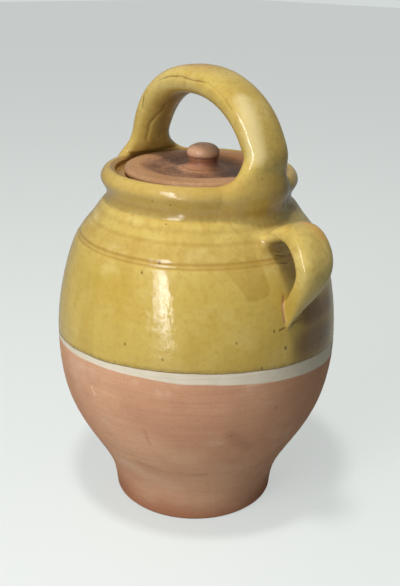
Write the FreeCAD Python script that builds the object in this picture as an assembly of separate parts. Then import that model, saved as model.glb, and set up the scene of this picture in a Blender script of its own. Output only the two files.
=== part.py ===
"""Half-glazed clay pot with a bail over its mouth, a small side handle and a loose lid.

Millimetres, +Z up, base on Z = 0, pot axis on Z. Both handles lie in the XZ plane, side handle at +X.
"""
import FreeCAD, Part
import math
import os

V = FreeCAD.Vector

# ---- pot, outside ----
rim_height = 202.8        # top of the rim
belly_radius = 82.0
belly_height = 104.0
base_radius = 48.4        # standing ring
base_edge = 1.5           # rounding of the standing ring
foot_radius = 52.4        # where the foot starts to flare
foot_height = 21.0
rim_radius = 55.5         # widest part of the rolled rim
rim_bulge = 3.2           # rim's widest part past the narrowest neck
neck_drop = 14.2          # narrowest neck below the rim top
rim_drop = 5.9            # widest part below the rim top
# (share of the way up, share of the way out) between the foot and the belly
lower_wall = ((0.15, 0.20), (0.37, 0.57), (0.65, 0.885))
# (share of the way up, share of the way in) between the belly and the neck
upper_wall = ((0.20, 0.026), (0.42, 0.13), (0.60, 0.275), (0.745, 0.47), (0.87, 0.76), (0.95, 0.95))
ring_shares = (0.722, 0.746)    # thrown grooves, as shares of the way up from belly to neck
ring_tool_radius = 0.9
ring_depth = 0.5

# ---- pot, inside ----
wall = 7.0
floor_thickness = 9.0
floor_corner = 14.0       # inside radius between floor and wall
lip_width = 5.0           # from the widest part of the rim in to its top
mouth_flare = 2.9         # recess the lid drops into, in from the rim top
ledge_width = 7.1         # ledge, in from the wall of that recess
ledge_drop = 4.2          # ledge below the rim top
ledge_thickness = 4.0
inside_steps = 10

# ---- lid, heights above the ledge ----
lid_clearance = 3.2       # round the lid, in its recess
lid_edge = 4.9            # thickness of the rounded edge
lid_border = 10.9         # edge to crest
lid_crest_height = 5.2
lid_floor_inset = 17.4    # edge to the dished floor
lid_floor_height = 2.5
lid_mound_radius = 13.0
lid_boss_clearance = 5.5  # boss under the lid, inside the ledge
lid_boss_depth = 2.4
knob_neck_radius = 8.1
knob_neck_height = 7.0
knob_radius = 9.4
knob_equator_height = 12.6
knob_height = 17.0
lid_shift = 2.0           # lies off the pot axis by this
lid_shift_angle = 45.0    # towards this direction, degrees from +X

# ---- bail; "near" is the +X leg, over the side handle ----
bail_rise = 47.8          # centre line at the top, above the rim top
bail_near_inset = 3.0     # centre line inside the rim's widest part, where each leg is upright
bail_far_inset = 11.3
bail_crown = (29.3, 16.0, 0)    # width along the rim, thickness, wrap round the pot
bail_near_leg = (28.2, 15.7, 0)
bail_far_leg = (25.5, 12.9, 0)
bail_roundness = 2.45     # 2 is an ellipse, more is squarer
bail_near_foot = (38.0, 12.0, 1)
bail_far_foot = (42.0, 12.0, 1)
bail_near_skew = -5.0     # sideways shift of each foot along the rim
bail_far_skew = 5.0
bail_foot_inset = 2.5     # and where it crosses the rim
bail_toe_depth = 7.8      # toe sunk into the neck
bail_foot_drop = 17.5     # toe below the rim top
bail_foot_height = 13.0   # above the rim top, where a leg starts to spread
bail_steps = 20

# ---- side handle, heights from the base ----
grip_top_height = 173.0   # upper root
grip_bottom_height = 131.0
grip_reach = 91.0         # centre line at its furthest, from the pot axis
grip_reach_height = 166.0
grip_peak_height = 181.5  # centre line at its highest
grip_strap = (24.0, 12.5, 0)    # width, thickness, wrap round the pot
grip_root = (20.0, 6.0, 1)
grip_tip = (3.0, 9.0, 1)  # pinched lower end
grip_roundness = 2.7
grip_top_offset = -1.5    # roots lie this far to the side of the bail's plane
grip_bottom_offset = -8.5
grip_top_depth = 5.0      # roots sunk into the wall
grip_bottom_depth = 5.2
grip_steps = 14

neck_height = rim_height - neck_drop
neck_radius = rim_radius - rim_bulge
ledge_height = rim_height - ledge_drop
crest_radius = rim_radius - lip_width
mouth_radius = crest_radius - mouth_flare
ledge_radius = mouth_radius - ledge_width
lid_radius = mouth_radius - lid_clearance
lid_crest_radius = lid_radius - lid_border
lid_floor_radius = lid_radius - lid_floor_inset
lid_boss_radius = ledge_radius - lid_boss_clearance
bail_near_span = rim_radius - bail_near_inset
bail_far_span = rim_radius - bail_far_inset
bail_foot_reach = rim_radius - bail_foot_inset
bail_toe_reach = neck_radius - bail_toe_depth


def on_profile(radius, height):
    return V(radius, 0, height)


def spline(points, start=None, end=None):
    curve = Part.BSplineCurve()
    if start is None:
        curve.interpolate(points)
    else:
        curve.interpolate(Points=points, InitialTangent=start, FinalTangent=end)
    return curve


def turned(edges):
    """Closed outline in the XZ half plane, turned once round Z."""
    return Part.Face(Part.Wire(edges)).revolve(V(0, 0, 0), V(0, 0, 1), 360)


def body_stations():
    """Radius and height up the outside, from the foot to the narrowest neck."""
    stations = [(foot_radius, foot_height)]
    for up, out in lower_wall:
        stations.append((foot_radius + out * (belly_radius - foot_radius),
                         foot_height + up * (belly_height - foot_height)))
    stations.append((belly_radius, belly_height))
    for up, inward in upper_wall:
        stations.append((belly_radius - inward * (belly_radius - neck_radius),
                         belly_height + up * (neck_height - belly_height)))
    stations.append((neck_radius, neck_height))
    return stations


def outside_curve():
    points = [on_profile(base_radius, base_edge)] + [on_profile(r, z) for r, z in body_stations()]
    return spline(points, V(0.12, 0, 1), V(0, 0, 1))


outside = outside_curve()


def parameter_at(height):
    low, high = outside.FirstParameter, outside.LastParameter
    for _ in range(40):
        middle = 0.5 * (low + high)
        if outside.value(middle).z < height:
            low = middle
        else:
            high = middle
    return low


def radius_at(height):
    """Outside radius of the body at a height between its base and its neck."""
    return outside.value(parameter_at(height)).x


def rim_curve():
    """From the neck, round the outside of the rim to its top."""
    bulge = rim_radius - neck_radius
    widest = rim_height - rim_drop
    return spline([
        on_profile(neck_radius, neck_height),
        on_profile(neck_radius + 0.38 * bulge, neck_height + 0.48 * (widest - neck_height)),
        on_profile(rim_radius, widest),
        on_profile(rim_radius - 0.3 * lip_width, rim_height - 0.27 * rim_drop),
        on_profile(crest_radius, rim_height),
    ], V(0, 0, 1), V(-1, 0, 0))


def outside_solid():
    """The pot's outside filled in, up to the top of the rim."""
    heel = on_profile(base_radius - base_edge, 0)
    edges = [
        Part.makeLine(V(0, 0, 0), heel),
        Part.makeLine(heel, on_profile(base_radius, base_edge)),
        outside.toShape(),
        rim_curve().toShape(),
        Part.makeLine(on_profile(crest_radius, rim_height), V(0, 0, rim_height)),
        Part.makeLine(V(0, 0, rim_height), V(0, 0, 0)),
    ]
    return turned(edges)


def inside_points():
    """Points one wall thickness in from the outside, bottom to top."""
    low = floor_thickness + floor_corner
    high = neck_height - 1.0
    points = []
    for i in range(inside_steps + 1):
        at = parameter_at(low + (high - low) * i / inside_steps)
        place, along = outside.value(at), outside.tangent(at)[0]
        points.append(V(place.x - wall * along.z, 0, place.z + wall * along.x))
    return points


def hollow_solid():
    """Everything inside the pot, with the recess for the lid, running on above the rim."""
    wall_points = inside_points()
    floor_edge = on_profile(wall_points[0].x - floor_corner, floor_thickness)
    curve = spline([floor_edge] + wall_points, V(1, 0, 0), V(-0.15, 0, 1))
    nose_low = on_profile(ledge_radius, ledge_height - ledge_thickness)
    nose_high = on_profile(ledge_radius, ledge_height - 1.0)
    nose_top = on_profile(ledge_radius + 1.0, ledge_height)
    corner = on_profile(mouth_radius, ledge_height)
    lip = on_profile(mouth_radius, rim_height - 0.3 * ledge_drop)
    flare = on_profile(crest_radius, rim_height)
    above = rim_height + 2.0
    outline = [
        V(0, 0, floor_thickness), floor_edge, None, wall_points[-1], nose_low, nose_high, nose_top, corner,
        lip, flare, on_profile(mouth_radius, above), V(0, 0, above), V(0, 0, floor_thickness),
    ]
    edges = []
    for a, b in zip(outline, outline[1:]):
        if b is None:
            edges.append(curve.toShape())
        elif a is not None:
            edges.append(Part.makeLine(a, b))
    return turned(edges)


def ring_groove(height):
    reach = radius_at(height) + ring_tool_radius - ring_depth
    return Part.makeTorus(reach, ring_tool_radius, V(0, 0, height), V(0, 0, 1))


def section(centre, along, width, thickness, wrap, roundness, turns=24):
    """Closed rounded-strap outline, width along Y, thickness square to the route in the XZ plane.

    wrap 1 bends it round the pot's axis, so that it lies against the wall; wrap 0 leaves it straight.
    """
    out = V(along.z, 0, -along.x)
    points = []
    for i in range(turns):
        a = 2 * math.pi * i / turns
        c, s = math.cos(a), math.sin(a)
        across = 0.5 * width * math.copysign(abs(c) ** (2 / roundness), c)
        deep = 0.5 * thickness * math.copysign(abs(s) ** (2 / roundness), s)
        y = centre.y + across
        bend = wrap * y * y / (2 * centre.x) if wrap else 0.0
        points.append(V(centre.x + deep * out.x - bend, y, centre.z + deep * out.z))
    curve = Part.BSplineCurve()
    curve.interpolate(Points=points, PeriodicFlag=True)
    return Part.Wire(curve.toShape())


def strap(route, sizes, roundness):
    """Loft along a route near the XZ plane; sizes gives (width, thickness, wrap) at each point.

    Both ends are buried in the pot's wall, and stay flat so that the loft closes.
    """
    path = spline(route)
    last = len(route) - 1
    wires = []
    for i, place in enumerate(route):
        width, thickness, wrap = sizes[i]
        along = path.tangent(path.parameter(place))[0]
        wires.append(section(place, along, width, thickness, wrap if 0 < i < last else 0, roundness))
    return Part.makeLoft(wires, True, False)


def eased(share):
    share = min(max(share, 0.0), 1.0)
    return share * share * (3 - 2 * share)


def mixed(a, b, share):
    return tuple(p + (q - p) * share for p, q in zip(a, b))


def bail():
    """Arch over the mouth; its legs spread over the rim and their toes close in on the neck."""
    spring = rim_height - 1.0
    rise = bail_rise + 1.0
    route, sizes = [], []
    start = math.asin((bail_foot_height + 1.0) / rise)
    for i in range(bail_steps + 1):
        a = start + (math.pi - 2 * start) * i / bail_steps
        far = math.cos(a) > 0
        span, leg = (bail_far_span, bail_far_leg) if far else (bail_near_span, bail_near_leg)
        x = -span * math.copysign(abs(math.cos(a)) ** (0.9 if far else 0.98), math.cos(a))
        route.append(V(x, 0, spring + rise * math.sin(a) ** 0.95))
        sizes.append(mixed(bail_crown, leg, math.cos(a) ** 2))
    for far in (True, False):
        side = -1 if far else 1
        leg = bail_far_leg if far else bail_near_leg
        foot = bail_far_foot if far else bail_near_foot
        skew = bail_far_skew if far else bail_near_skew
        ankle = abs(route[0].x if far else route[-1].x)
        spread = [
            (ankle + 0.35 * (bail_foot_reach - ankle), rim_height + 0.5 * bail_foot_height, 0.4),
            (bail_foot_reach, rim_height - 0.2 * bail_foot_drop, 1.0),
            (0.75 * bail_foot_reach + 0.25 * bail_toe_reach, rim_height - 0.6 * bail_foot_drop, 0.9),
            (bail_toe_reach, rim_height - bail_foot_drop, 0.7),
        ]
        for x, z, share in spread:
            place = V(side * x, skew * share, z)
            size = mixed(leg, foot, share)
            if far:
                route.insert(0, place)
                sizes.insert(0, size)
            else:
                route.append(place)
                sizes.append(size)
    return strap(route, sizes, bail_roundness)


def grip():
    """Side handle: out from the shoulder, over and back to a pinched lower end."""
    top_x = radius_at(grip_top_height)
    low_x = radius_at(grip_bottom_height)
    middle_x = low_x + 0.45 * (grip_reach - low_x)
    middle_z = grip_bottom_height + 0.52 * (grip_reach_height - grip_bottom_height)
    guide = spline([
        V(top_x - grip_top_depth, grip_top_offset, grip_top_height - 2.0),
        V(top_x + 0.5 * (grip_reach - top_x), grip_top_offset, grip_peak_height),
        V(grip_reach, 0.6 * grip_top_offset + 0.4 * grip_bottom_offset, grip_reach_height),
        V(middle_x, 0.3 * grip_top_offset + 0.7 * grip_bottom_offset, middle_z),
        V(low_x - grip_bottom_depth, grip_bottom_offset, grip_bottom_height),
    ])
    route, sizes = [], []
    start, end = guide.FirstParameter, guide.LastParameter
    for i in range(grip_steps + 1):
        share = i / grip_steps
        route.append(guide.value(start + share * (end - start)))
        size = mixed(grip_strap, grip_root, 1 - eased(share / 0.4))
        sizes.append(mixed(size, grip_tip, eased((share - 0.45) / 0.55)))
    return strap(route, sizes, grip_roundness)


def pitcher():
    solid = outside_solid()
    for share in ring_shares:
        solid = solid.cut(ring_groove(belly_height + share * (neck_height - belly_height)))
    return solid.fuse(bail()).fuse(grip()).cut(hollow_solid())


def lid():
    """Turned disc with a rounded edge, a dished top and a knob, resting on the ledge."""
    def at(radius, height):
        return on_profile(radius, ledge_height + height)

    half = 0.5 * lid_edge
    border_radius = 0.5 * (lid_radius - half + lid_crest_radius)
    edge = Part.Arc(at(lid_radius - half, 0), at(lid_radius, half), at(lid_radius - half, lid_edge))
    border = spline([
        at(lid_radius - half, lid_edge),
        at(border_radius, 0.5 * (lid_edge + lid_crest_height) + 0.1),
        at(lid_crest_radius, lid_crest_height),
    ], V(-1, 0, 0), V(-1, 0, 0))
    dish = spline([
        at(lid_crest_radius, lid_crest_height),
        at(0.5 * (lid_crest_radius + lid_floor_radius), 0.5 * (lid_crest_height + lid_floor_height)),
        at(lid_floor_radius, lid_floor_height),
        at(0.5 * (lid_floor_radius + lid_mound_radius), lid_floor_height - 0.15),
        at(lid_mound_radius, lid_floor_height + 1.0),
        at(knob_neck_radius + 0.8, 0.62 * knob_neck_height + 0.38 * lid_floor_height),
        at(knob_neck_radius, knob_neck_height),
    ], V(-1, 0, -0.3), V(0, 0, 1))
    knob = spline([
        at(knob_neck_radius, knob_neck_height),
        at(0.5 * (knob_neck_radius + knob_radius), 0.6 * knob_neck_height + 0.4 * knob_equator_height),
        at(knob_radius, knob_equator_height),
        at(0.72 * knob_radius, knob_equator_height + 0.72 * (knob_height - knob_equator_height)),
        at(0, knob_height),
    ], V(0, 0, 1), V(-1, 0, 0))
    boss = at(lid_boss_radius - lid_boss_depth, -lid_boss_depth)
    edges = [
        Part.makeLine(at(0, knob_height), at(0, -lid_boss_depth)),
        Part.makeLine(at(0, -lid_boss_depth), boss),
        Part.makeLine(boss, at(lid_boss_radius, 0)),
        Part.makeLine(at(lid_boss_radius, 0), at(lid_radius - half, 0)),
        edge.toShape(), border.toShape(), dish.toShape(), knob.toShape(),
    ]
    solid = turned(edges)
    shift = math.radians(lid_shift_angle)
    solid.translate(V(lid_shift * math.cos(shift), lid_shift * math.sin(shift), 0))
    return solid


def one_solid(shape):
    solids = shape.Solids
    if len(solids) != 1 or not solids[0].isValid():
        raise ValueError("expected one valid solid, got %d" % len(solids))
    return solids[0]


os.makedirs("parts", exist_ok=True)
one_solid(pitcher()).exportStep("parts/pitcher.step")
one_solid(lid()).exportStep("parts/lid.step")
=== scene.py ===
# %% [markdown]
# # A lidded farmhouse pot
# This lesson builds a small French kitchen pot in Blender: a thrown earthenware body, half dipped
# in yellow lead glaze, with a strap handle that arches over its lid and a smaller one on its shoulder.
# The plain model that it starts from is in metres, and every piece made here stays in that space.

# %% Open the frame
import functools
import math

import bpy
import numpy as np
from mathutils import Matrix, Vector


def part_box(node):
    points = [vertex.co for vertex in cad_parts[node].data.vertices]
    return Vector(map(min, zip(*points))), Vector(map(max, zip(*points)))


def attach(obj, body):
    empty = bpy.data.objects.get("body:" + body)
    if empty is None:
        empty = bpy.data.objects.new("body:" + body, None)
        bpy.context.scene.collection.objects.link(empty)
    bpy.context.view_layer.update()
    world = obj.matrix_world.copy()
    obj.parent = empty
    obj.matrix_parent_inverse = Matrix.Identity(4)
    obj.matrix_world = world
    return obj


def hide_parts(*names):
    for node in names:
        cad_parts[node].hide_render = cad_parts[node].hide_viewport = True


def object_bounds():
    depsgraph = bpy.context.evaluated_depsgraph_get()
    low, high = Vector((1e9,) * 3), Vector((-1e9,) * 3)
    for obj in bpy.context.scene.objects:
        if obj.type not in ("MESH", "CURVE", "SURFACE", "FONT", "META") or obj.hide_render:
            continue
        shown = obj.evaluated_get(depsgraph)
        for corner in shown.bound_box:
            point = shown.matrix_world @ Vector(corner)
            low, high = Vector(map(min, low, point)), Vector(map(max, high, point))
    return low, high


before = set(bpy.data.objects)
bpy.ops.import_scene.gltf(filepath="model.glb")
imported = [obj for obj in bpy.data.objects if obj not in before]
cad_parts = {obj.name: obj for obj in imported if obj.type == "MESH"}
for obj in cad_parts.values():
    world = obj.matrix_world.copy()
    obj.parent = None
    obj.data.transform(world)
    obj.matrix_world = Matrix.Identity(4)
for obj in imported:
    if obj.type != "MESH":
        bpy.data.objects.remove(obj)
cad_low, cad_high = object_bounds()
mm = 0.001
print("frame box", [round(v, 4) for v in (*cad_low, *cad_high)])

# %% [markdown]
# ## Reading the turned outline
# A pot off the wheel is one outline turned round an axis. The plain model already holds that outline,
# so it is cut with an upright half plane that misses both handles, and the cut edges are chained into
# one line from the underside, up the outside, over the rim and down the inside to the floor.
# Typing the radii again would work too, but then two places would have to agree for ever.

# %% Cut a node with a half plane
def points_and_triangles(node):
    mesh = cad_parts[node].data
    mesh.calc_loop_triangles()
    points = np.empty(3 * len(mesh.vertices))
    mesh.vertices.foreach_get("co", points)
    corners = np.empty(3 * len(mesh.loop_triangles), int)
    mesh.loop_triangles.foreach_get("vertices", corners)
    world = np.array(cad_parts[node].matrix_world)
    points = points.reshape(-1, 3) @ world[:3, :3].T + world[:3, 3]
    return points / mm, corners.reshape(-1, 3)


def half_outline(node, axis, angle):
    """Radius and height, in mm, round one side of a turned node, from its lowest point on the axis."""
    points, corners = points_and_triangles(node)
    out = np.array((math.cos(angle), math.sin(angle)))
    flat = points[:, :2] - axis
    hair, touching = 1e-4, 0.01   # mm: the plane is a hair off, so that it passes no corner exactly
    radius, side, height = flat @ out, flat @ np.array((-out[1], out[0])) + hair, points[:, 2]
    chain = {}
    for triangle in corners[np.ptp(np.sign(side[corners]), axis=1) > 0]:
        ends = []
        for a, b in zip(triangle, np.roll(triangle, 1)):
            if side[a] * side[b] < 0:
                low, high = (a, b) if tuple(points[a]) < tuple(points[b]) else (b, a)
                share = side[low] / (side[low] - side[high])
                ends.append((round(radius[low] + share * (radius[high] - radius[low]), 3),
                             round(height[low] + share * (height[high] - height[low]), 3)))
        if len(ends) == 2 and ends[0] != ends[1] and min(ends[0][0], ends[1][0]) > -0.5:
            chain.setdefault(ends[0], []).append(ends[1])
            chain.setdefault(ends[1], []).append(ends[0])
    place = min(chain, key=lambda p: (p[1] > height.min() + touching, p[0]))
    line, seen = [place], {place}
    while True:
        following = [p for p in chain[place] if p not in seen]
        if not following:
            break
        place = max(following, key=lambda p: p[0]) if len(line) == 1 else following[0]
        seen.add(place)
        line.append(place)
    line = np.array(line)
    line[0, 0] = 0.0
    return np.vstack([line, (0.0, line[-1, 1])]) if line[-1, 0] > touching else line


lid_low, lid_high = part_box("lid")
lid_axis = np.array(((lid_low.x + lid_high.x) / 2, (lid_low.y + lid_high.y) / 2)) / mm
pot_line = half_outline("pitcher", np.zeros(2), math.pi / 2)
lid_line = half_outline("lid", lid_axis, math.pi / 2)
for name, line in (("pot", pot_line), ("lid", lid_line)):
    widest, lowest, highest = line[:, 0].max(), line[:, 1].min(), line[:, 1].max()
    print(f"{name} outline: {len(line)} points, radius {widest} mm, from {lowest} to {highest} mm high")

# %% [markdown]
# ## From facets to a drawn line
# The cut follows the model's flat facets, and gloss would show every one of them. So the line is
# redrawn at even steps and smoothed: strongly where it runs gently, lightly where it turns at the rim,
# the ledge and the two tooled grooves. Rows are then placed closely where it turns and far apart on
# the inside, so that the mesh spends its faces where the eye looks.

# %% Smooth a line, then place rows along it
def smoothed(line, reach, step):
    """Local quadratic smoothing of evenly spaced points, over about reach mm each way."""
    half = int(3 * reach / step)
    near = np.arange(-half, half + 1) * step
    weight = np.exp(-(near / reach) ** 2)
    moments = [np.sum(weight * near ** k) for k in (0, 2, 4)]
    kernel = weight * (moments[2] - moments[1] * near ** 2)
    kernel /= kernel.sum()
    padded = np.vstack([2 * line[0] - line[half:0:-1], line, 2 * line[-1] - line[-2:-half - 2:-1]])
    return np.stack([np.convolve(padded[:, k], kernel, "valid") for k in range(2)], axis=1)


def lengths(line):
    """How far along the line each of its points lies."""
    return np.concatenate([[0], np.cumsum(np.linalg.norm(np.diff(line, axis=0), axis=1))])


def even(line, step):
    along = lengths(line)
    wanted = np.linspace(0, along[-1], int(along[-1] / step) + 1)
    return np.stack([np.interp(wanted, along, line[:, k]) for k in range(line.shape[1])], axis=1)


def drawn(line, gentle, tight, spacing, filled=(0, 0), step=0.15):
    """Smooth rows along an outline; spacing(radius, height) is the step where it runs gently.

    Between the two heights of filled, sharp turns are half smoothed away, as under a coat of glaze.
    """
    noticed, changeover, shows_through, closest = 0.1, 4.0, 0.45, 0.5
    dense = even(line, step)
    soft, crisp = smoothed(dense, gentle, step), smoothed(dense, tight, step)
    turning = np.clip(np.linalg.norm(soft - crisp, axis=1) / noticed - 0.3, 0, 1)
    spread = np.ones(int(changeover / step)) / int(changeover / step)
    edge = 2 * len(spread)
    turning = np.clip(np.convolve(np.pad(turning, edge, "edge"), spread, "same"), 0, 1)
    turning = np.clip(2.5 * turning[edge:-edge], 0, 1)[:, None]
    coated = (dense[:, 1] > filled[0]) & (dense[:, 1] < filled[1])
    fair = soft + (crisp - soft) * turning * np.where(coated, shows_through, 1.0)[:, None]
    gap = np.array([spacing(r, z) for r, z in fair])
    gap = gap + (np.minimum(closest, gap) - gap) * turning[:, 0]
    count = np.concatenate([[0], np.cumsum(step / gap)])[:-1]
    rows = np.interp(np.arange(0, count[-1]), count, np.arange(len(fair)))
    placed = np.stack([np.interp(rows, np.arange(len(fair)), fair[:, k]) for k in range(2)], axis=1)
    placed[0, 0] = 0
    placed[:, 1] = np.maximum(placed[:, 1], line[:, 1].min())
    return np.vstack([placed, (0, fair[-1, 1])])


rim_height = pot_line[:, 1].max()
wall_thickness = 7.0
outside_rows, inside_rows, lid_spacing = 1.1, 6.0, 0.8   # mm from row to row
tooled_grooves = (160, 172)


def outer_at(height):
    """The pot's outside radius at a height."""
    outer = pot_line[:np.argmax(pot_line[:, 1])]
    return np.interp(height, np.maximum.accumulate(outer[:, 1]), outer[:, 0])


def pot_spacing(radius, height):
    on_outside = radius > outer_at(height) - 0.4 * wall_thickness and height > 1
    return outside_rows if on_outside else inside_rows


pot_rows = drawn(pot_line, gentle=3.5, tight=0.55, spacing=pot_spacing, filled=tooled_grooves)
lid_rows = drawn(lid_line, gentle=1.0, tight=0.5, spacing=lambda radius, height: lid_spacing)
print("rows: pot", len(pot_rows), "lid", len(lid_rows), "rim height", rim_height)

# %% [markdown]
# ## A node tree for turned ware
# Thrown ware follows a rule, so Geometry Nodes make it: a flat grid with one row for each point of the
# outline is wrapped round the axis. Fingers leave a spiral of soft ridges as the clay turns, and the
# wall is never quite round, so both are added along the outline's outward direction. Near the places
# where handles are pressed on, a potter smooths these marks away, so the tree fades them there.

# %% Helpers that place and join nodes
def put(tree, kind, values=None, **settings):
    """A new node; values gives an input's constant, or the socket that feeds it."""
    made = tree.nodes.new(kind)
    for key, value in settings.items():
        setattr(made, key, value)
    for key, value in (values or {}).items():
        if isinstance(value, bpy.types.NodeSocket):
            tree.links.new(value, made.inputs[key])
        else:
            made.inputs[key].default_value = value
    return made


def calc(tree, operation, *values):
    return put(tree, "ShaderNodeMath", dict(enumerate(values)), operation=operation).outputs[0]


def vector_calc(tree, operation, *values):
    made = put(tree, "ShaderNodeVectorMath", operation=operation)
    slots = (0, "Scale") if operation == "SCALE" else range(len(values))
    for slot, value in zip(slots, values):
        if isinstance(value, bpy.types.NodeSocket):
            tree.links.new(value, made.inputs[slot])
        else:
            made.inputs[slot].default_value = value
    return made.outputs["Value" if operation in ("DOT_PRODUCT", "LENGTH", "DISTANCE") else "Vector"]


def total(tree, *values):
    return functools.reduce(lambda a, b: calc(tree, "ADD", a, b), values)


def product(tree, *values):
    return functools.reduce(lambda a, b: calc(tree, "MULTIPLY", a, b), values)


print("helpers ready: put, calc, vector_calc, total, product")

# %% [markdown]
# ## The turning tree
# The tree's inputs are the outline, the size of the finger ridges and of the wobble, and the places where
# a handle sits, each with the reach over which the wall is smoothed. The grid's X counts rows and its Y
# goes once round. The seam closes when near points merge, and the tree ends in plain, realized mesh.

# %% Build the turning tree
attachments = {
    "Near foot": (Vector((53, -5, 196)) * mm, 33 * mm),
    "Far foot": (Vector((-53, 5, 196)) * mm, 33 * mm),
    "Handle top": (Vector((66, -1.5, 173)) * mm, 22 * mm),
    "Handle tip": (Vector((79, -8.5, 131)) * mm, 16 * mm),
}


def sampled(tree, source, kind, value, index):
    made = put(tree, "GeometryNodeSampleIndex", data_type=kind, domain="POINT")
    tree.links.new(source, made.inputs["Geometry"])
    tree.links.new(value, made.inputs["Value"])
    tree.links.new(index, made.inputs["Index"])
    return made.outputs["Value"]


def named(tree, name, kind):
    made = put(tree, "GeometryNodeInputNamedAttribute", {"Name": name}, data_type=kind)
    return made.outputs["Attribute"]


def turning_tree():
    tree = bpy.data.node_groups.new("turned ware", "GeometryNodeTree")
    face = tree.interface
    face.new_socket("Outline", in_out="INPUT", socket_type="NodeSocketGeometry")
    sizes = [("Columns", "NodeSocketInt", 240), ("Finger pitch", "NodeSocketFloat", 0.0072),
             ("Finger depth", "NodeSocketFloat", 0.0), ("Wobble", "NodeSocketFloat", 0.0),
             ("Seed", "NodeSocketFloat", 3.0), ("Axis", "NodeSocketVector", (0, 0, 0))]
    sizes += [(name, "NodeSocketVector", (0, 0, -1)) for name in attachments]
    sizes += [(name + " reach", "NodeSocketFloat", 0.001) for name in attachments]
    for name, kind, start in sizes:
        face.new_socket(name, in_out="INPUT", socket_type=kind).default_value = start
    face.new_socket("Material", in_out="INPUT", socket_type="NodeSocketMaterial")
    face.new_socket("Ware", in_out="OUTPUT", socket_type="NodeSocketGeometry")
    given = put(tree, "NodeGroupInput").outputs

    size = put(tree, "GeometryNodeAttributeDomainSize", {"Geometry": given["Outline"]})
    columns = calc(tree, "ADD", given["Columns"], 1)
    grid = put(tree, "GeometryNodeMeshGrid", {
        "Size X": 1.0, "Size Y": 1.0, "Vertices X": size.outputs["Point Count"], "Vertices Y": columns})
    place = put(tree, "ShaderNodeSeparateXYZ", {0: put(tree, "GeometryNodeInputPosition").outputs[0]})
    last = calc(tree, "SUBTRACT", size.outputs["Point Count"], 1)
    row = calc(tree, "ROUND", product(tree, calc(tree, "ADD", place.outputs["X"], 0.5), last))
    angle = product(tree, calc(tree, "ADD", place.outputs["Y"], 0.5), math.tau)
    row = put(tree, "FunctionNodeFloatToInt", {0: row}, rounding_mode="ROUND").outputs[0]

    outline = given["Outline"]
    here = put(tree, "GeometryNodeInputPosition").outputs[0]
    spot = sampled(tree, outline, "FLOAT_VECTOR", here, row)
    spot = put(tree, "ShaderNodeSeparateXYZ", {0: spot}).outputs
    facing = sampled(tree, outline, "FLOAT_VECTOR", named(tree, "facing", "FLOAT_VECTOR"), row)
    facing = put(tree, "ShaderNodeSeparateXYZ", {0: facing}).outputs
    marked = sampled(tree, outline, "FLOAT", named(tree, "marked", "FLOAT"), row)
    around = {0: calc(tree, "COSINE", angle), 1: calc(tree, "SINE", angle)}
    around = put(tree, "ShaderNodeCombineXYZ", around).outputs[0]

    def wrapped(radius, height):
        up = put(tree, "ShaderNodeCombineXYZ", {2: height}).outputs[0]
        return vector_calc(tree, "ADD", vector_calc(tree, "SCALE", around, radius), up)

    smooth_place = wrapped(spot["X"], spot["Z"])
    seed = put(tree, "ShaderNodeCombineXYZ", {0: given["Seed"]}).outputs[0]
    seeded = vector_calc(tree, "ADD", vector_calc(tree, "ADD", smooth_place, (7.3, 1.9, 4.1)), seed)
    slow, quick = ({"Vector": seeded, "Scale": scale, "Detail": 1.0} for scale in (22.0, 45.0))
    broad = put(tree, "ShaderNodeTexNoise", slow, normalize=False).outputs[0]
    strength = put(tree, "ShaderNodeTexNoise", quick).outputs[0]
    ridges = []
    for turns, finer, late, share in ((1, 1.0, 0.0, 0.5), (-1, 0.618, 1.3, 0.3), (2, 0.37, 2.9, 0.2)):
        pitch = product(tree, given["Finger pitch"], finer)
        climb = product(tree, calc(tree, "DIVIDE", spot["Z"], pitch), math.tau)
        phase = total(tree, climb, product(tree, angle, float(turns)), late)
        ridges.append(product(tree, calc(tree, "SINE", phase), share))
    fingers = product(tree, total(tree, *ridges), strength, given["Finger depth"])
    inward = calc(tree, "SUBTRACT", broad, 0.55)
    relief = calc(tree, "ADD", fingers, product(tree, inward, given["Wobble"]))
    relief = product(tree, relief, marked)
    for name in attachments:
        away = vector_calc(tree, "DISTANCE", smooth_place, given[name])
        start = given[name + " reach"]
        calm = put(tree, "ShaderNodeMapRange", {0: away, 1: start, 2: product(tree, start, 1.7)},
                   interpolation_type="SMOOTHSTEP").outputs[0]
        relief = product(tree, relief, calm)
    grown = wrapped(calc(tree, "ADD", spot["X"], product(tree, relief, facing["X"])),
                    calc(tree, "ADD", spot["Z"], product(tree, relief, facing["Z"])))
    grown = vector_calc(tree, "ADD", grown, given["Axis"])
    moved = put(tree, "GeometryNodeSetPosition", {"Geometry": grid.outputs["Mesh"], "Position": grown})
    kept = {"Geometry": moved.outputs[0], "Name": "marked", "Value": marked}
    kept = put(tree, "GeometryNodeStoreNamedAttribute", kept, data_type="FLOAT", domain="POINT")
    closed = put(tree, "GeometryNodeMergeByDistance", {"Geometry": kept.outputs[0], "Distance": 2e-6})
    soft = put(tree, "GeometryNodeSetShadeSmooth", {"Geometry": closed.outputs[0]})
    real = put(tree, "GeometryNodeRealizeInstances", {"Geometry": soft.outputs[0]})
    coated = {"Geometry": real.outputs[0], "Material": given["Material"]}
    coated = put(tree, "GeometryNodeSetMaterial", coated)
    put(tree, "NodeGroupOutput", {"Ware": coated.outputs[0]})
    return tree


turned_ware = turning_tree()
print("turning tree:", len(turned_ware.nodes), "nodes")

# %% [markdown]
# ## Running a tree once
# The export wants plain meshes, so each tree runs once: its inputs are set, the result is copied out
# as an ordinary mesh, and the modifier goes. A volume check turns any shell that came out inside out.
# The two finishes are opened here, still empty, so that the trees can already coat their ware with them.

# %% Run a tree and keep plain mesh
pot_finish = bpy.data.materials.new("dipped earthenware")
lid_finish = bpy.data.materials.new("washed clay")


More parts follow.
